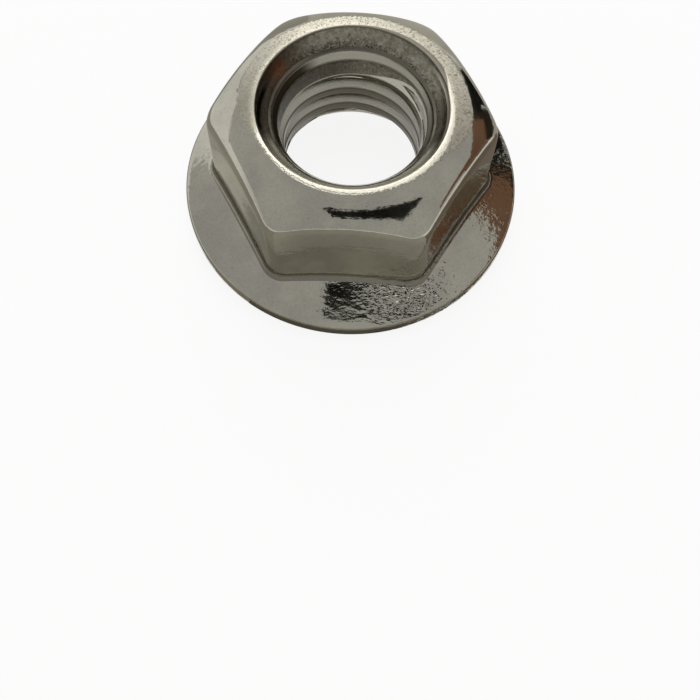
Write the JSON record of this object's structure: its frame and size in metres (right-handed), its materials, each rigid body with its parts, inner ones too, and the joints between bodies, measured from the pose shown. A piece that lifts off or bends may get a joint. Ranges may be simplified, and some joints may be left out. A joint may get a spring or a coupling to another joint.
{
  "type": "serrated flange nut",
  "caption": "Hexagon nut with an integral washer flange whose bearing face carries a ring of swept sawtooth serrations that lock it against the joint.",
  "frame": {"origin": "on the thread's axis, in the plane of the tooth tips", "axes": "+Z along the thread, from the serrated bearing face towards the hexagon's mouth; +X through a corner of the hexagon, Y square to a pair of flats"},
  "size_m": [0.0175, 0.0174, 0.0077],
  "materials": {
    "stainless_steel": "cold-forged austenitic stainless steel, electropolished bright, with radial forging marks round the mouth and a rough countersink"
  },
  "bodies": {
    "root": {"flange_nut": "stainless_steel"}
  },
  "joints": []
}
